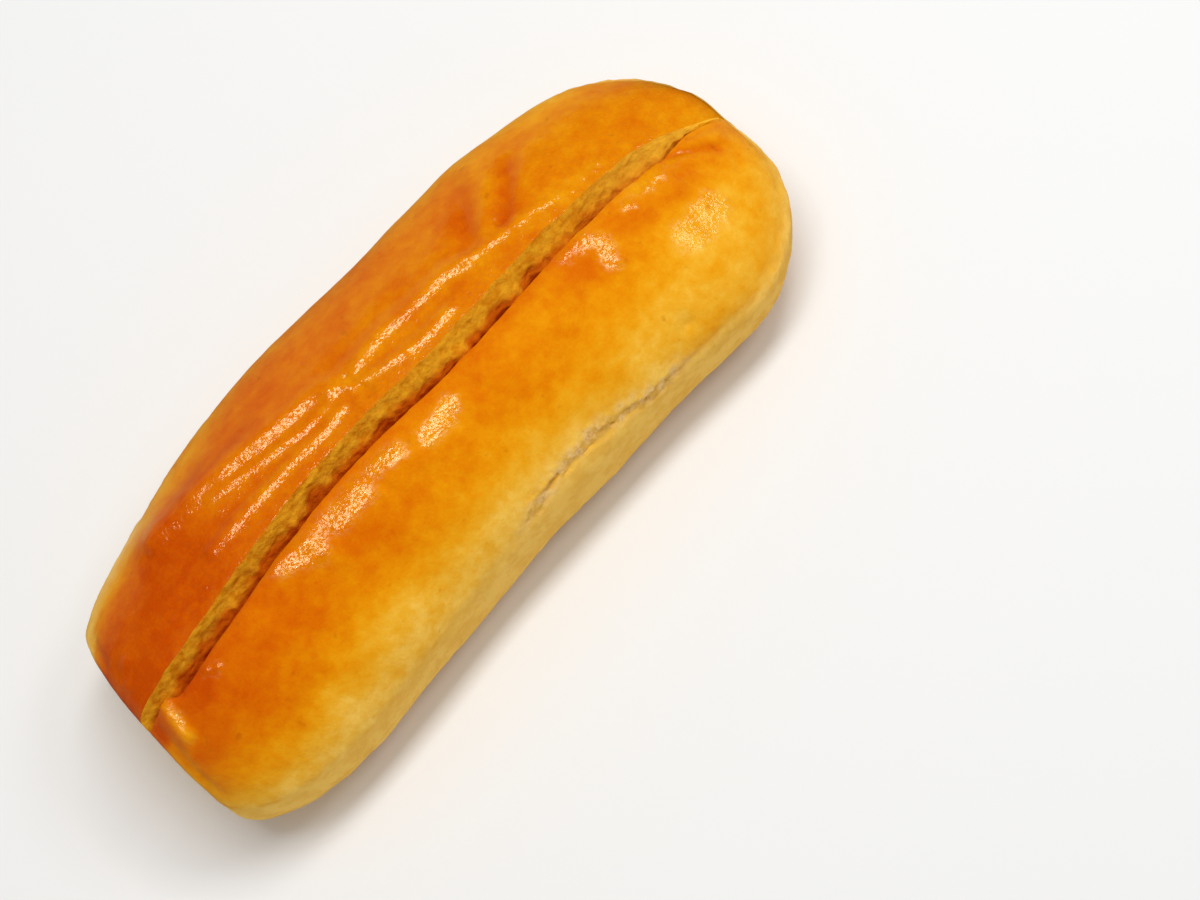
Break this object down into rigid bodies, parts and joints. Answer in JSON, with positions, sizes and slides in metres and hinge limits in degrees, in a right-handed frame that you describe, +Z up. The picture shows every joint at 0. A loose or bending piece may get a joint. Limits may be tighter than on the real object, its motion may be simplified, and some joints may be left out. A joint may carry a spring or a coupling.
{
  "type": "hot dog bun",
  "caption": "Long soft glazed bread roll, slit lengthwise along its crown to take a sausage, with torn pale side walls, a round end, a pressed end and a flat base.",
  "frame": {"origin": "middle of the flat base: the middle of the bun's outline seen from above, at the height it rests on", "axes": "+X along the bun towards its round end, +Y across it towards the darker lobe left of the slit, +Z up out of the crown"},
  "size_m": [0.1534, 0.0656, 0.0385],
  "materials": {
    "glazed_crust": "soft baked crust with a thin egg glaze, deep orange brown on the crown and paler cream yellow down the sides"
  },
  "bodies": {
    "root": {"bun": "glazed_crust"}
  },
  "joints": []
}
